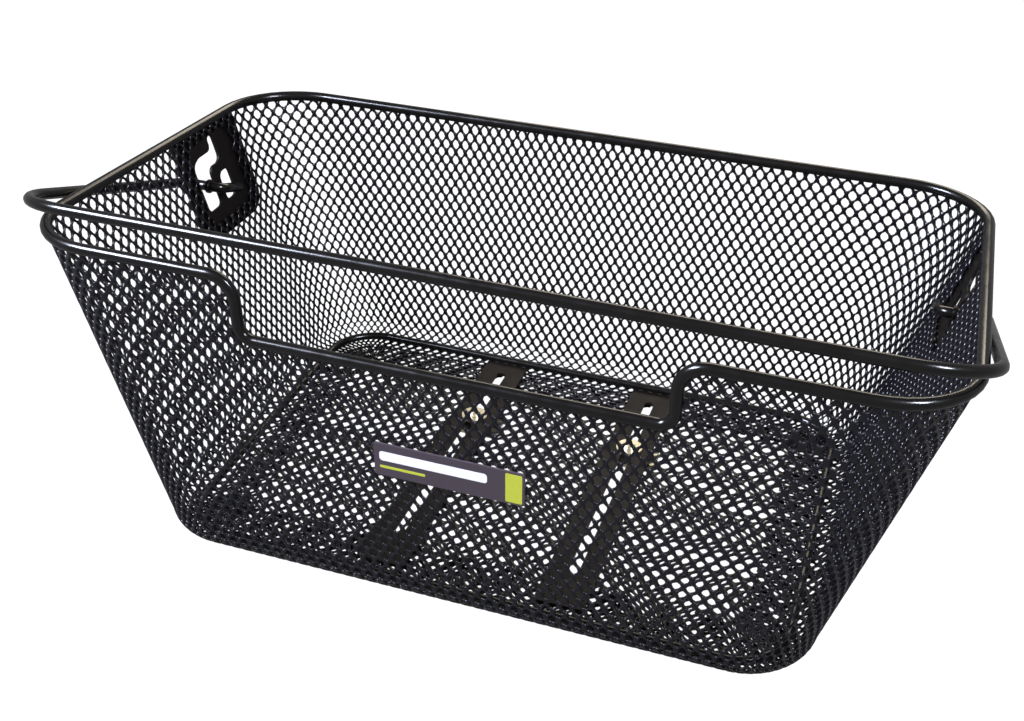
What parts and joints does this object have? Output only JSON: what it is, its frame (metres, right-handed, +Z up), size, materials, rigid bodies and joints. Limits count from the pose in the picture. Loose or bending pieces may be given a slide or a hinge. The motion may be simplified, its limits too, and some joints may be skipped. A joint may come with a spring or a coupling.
{
  "type": "bicycle carrier basket",
  "caption": "Black expanded-metal basket for a bicycle's rear carrier, with a dipped front rim, a folding bail handle and slotted floor strips.",
  "frame": {"origin": "on the underside of the floor, at the middle of the rim's length and depth", "axes": "+X along the basket's length, +Y from the dipped front to the back, +Z up"},
  "size_m": [0.478, 0.264, 0.213],
  "materials": {
    "rod_coat": "gloss black powder coat",
    "mesh_coat": "gloss black powder coat over expanded metal",
    "plate_coat": "satin black powder coat on sheet steel",
    "zinc_steel": "bright zinc plating",
    "badge_print": "printed plum face with a yellow-green end block"
  },
  "bodies": {
    "basket": {"rim_wire": "rod_coat", "base_wire": "rod_coat", "wall_mesh": "mesh_coat", "floor_mesh": "mesh_coat", "side_plate_left": "plate_coat", "side_plate_right": "plate_coat", "floor_strip_left": "plate_coat", "floor_strip_right": "plate_coat", "clamp_screws": "zinc_steel", "clamp_washers": "zinc_steel", "clamp_plate_left": "zinc_steel", "clamp_plate_right": "zinc_steel", "clamp_nuts": "zinc_steel", "badge": "badge_print"},
    "bail": {"handle": "rod_coat"}
  },
  "joints": [
    {"name": "bail_hinge", "type": "hinge", "parent": "basket", "child": "bail", "pos_m": [0, 0.038, 0.142], "axis": [-1, 0, 0], "range_deg": [0, 74]}
  ]
}
